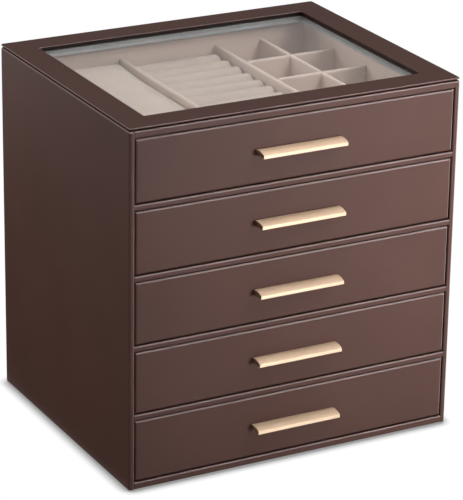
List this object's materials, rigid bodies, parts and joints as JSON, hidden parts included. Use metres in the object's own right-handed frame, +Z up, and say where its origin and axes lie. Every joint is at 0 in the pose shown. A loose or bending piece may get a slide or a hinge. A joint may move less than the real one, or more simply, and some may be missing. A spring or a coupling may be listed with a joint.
{
  "type": "drawer jewellery box",
  "caption": "Upright leather-wrapped jewellery box with a fixed glass top and a column of lined sliding drawers with arched metal pulls; top tray with ring rolls, stud pad and compartments.",
  "frame": {"origin": "middle of the case's footprint, on the surface that the box stands on", "axes": "+Z up, -Y towards the user along the drawers' travel, +X to the right seen from the front"},
  "size_m": [0.23, 0.1973, 0.237],
  "materials": {
    "leather": "dark brown smooth synthetic leather wrapped over board, satin",
    "velvet": "beige velvet over foam or card",
    "lined_board": "board covered with beige velvet",
    "gold_metal": "champagne gold, satin brushed",
    "screw_steel": "plain zinc-plated steel",
    "glass": "clear float glass",
    "felt": "dark brown felt"
  },
  "bodies": {
    "case": {"base_felt": "felt", "bottom_panel": "leather", "left_side_panel": "leather", "right_side_panel": "leather", "back_panel": "leather", "shelf_1": "leather", "shelf_2": "leather", "shelf_3": "leather", "shelf_4": "leather", "top_frame": "leather", "glass_pane": "glass", "glass_retainer": "velvet", "top_cover": "leather"},
    "drawer_1": {"drawer_1_front": "leather", "drawer_1_box_front": "lined_board", "drawer_1_left_wall": "lined_board", "drawer_1_right_wall": "lined_board", "drawer_1_back_wall": "lined_board", "drawer_1_bottom": "lined_board", "drawer_1_handle": "gold_metal", "drawer_1_handle_screws": "screw_steel", "drawer_1_stud_pad": "velvet", "drawer_1_ring_rolls": "velvet", "drawer_1_long_dividers": "lined_board", "drawer_1_cross_dividers": "lined_board"},
    "drawer_2": {"drawer_2_front": "leather", "drawer_2_box_front": "lined_board", "drawer_2_left_wall": "lined_board", "drawer_2_right_wall": "lined_board", "drawer_2_back_wall": "lined_board", "drawer_2_bottom": "lined_board", "drawer_2_handle": "gold_metal", "drawer_2_handle_screws": "screw_steel", "drawer_2_long_dividers": "lined_board"},
    "drawer_3": {"drawer_3_front": "leather", "drawer_3_box_front": "lined_board", "drawer_3_left_wall": "lined_board", "drawer_3_right_wall": "lined_board", "drawer_3_back_wall": "lined_board", "drawer_3_bottom": "lined_board", "drawer_3_handle": "gold_metal", "drawer_3_handle_screws": "screw_steel", "drawer_3_dividers": "lined_board"},
    "drawer_4": {"drawer_4_front": "leather", "drawer_4_box_front": "lined_board", "drawer_4_left_wall": "lined_board", "drawer_4_right_wall": "lined_board", "drawer_4_back_wall": "lined_board", "drawer_4_bottom": "lined_board", "drawer_4_handle": "gold_metal", "drawer_4_handle_screws": "screw_steel", "drawer_4_long_divider": "lined_board"},
    "drawer_5": {"drawer_5_front": "leather", "drawer_5_box_front": "lined_board", "drawer_5_left_wall": "lined_board", "drawer_5_right_wall": "lined_board", "drawer_5_back_wall": "lined_board", "drawer_5_bottom": "lined_board", "drawer_5_handle": "gold_metal", "drawer_5_handle_screws": "screw_steel"}
  },
  "joints": [
    {"name": "drawer_1_slide", "type": "slide", "parent": "case", "child": "drawer_1", "axis": [0, -1, 0], "range_m": [0, 0.14]},
    {"name": "drawer_2_slide", "type": "slide", "parent": "case", "child": "drawer_2", "axis": [0, -1, 0], "range_m": [0, 0.14]},
    {"name": "drawer_3_slide", "type": "slide", "parent": "case", "child": "drawer_3", "axis": [0, -1, 0], "range_m": [0, 0.14]},
    {"name": "drawer_4_slide", "type": "slide", "parent": "case", "child": "drawer_4", "axis": [0, -1, 0], "range_m": [0, 0.14]},
    {"name": "drawer_5_slide", "type": "slide", "parent": "case", "child": "drawer_5", "axis": [0, -1, 0], "range_m": [0, 0.14]}
  ]
}
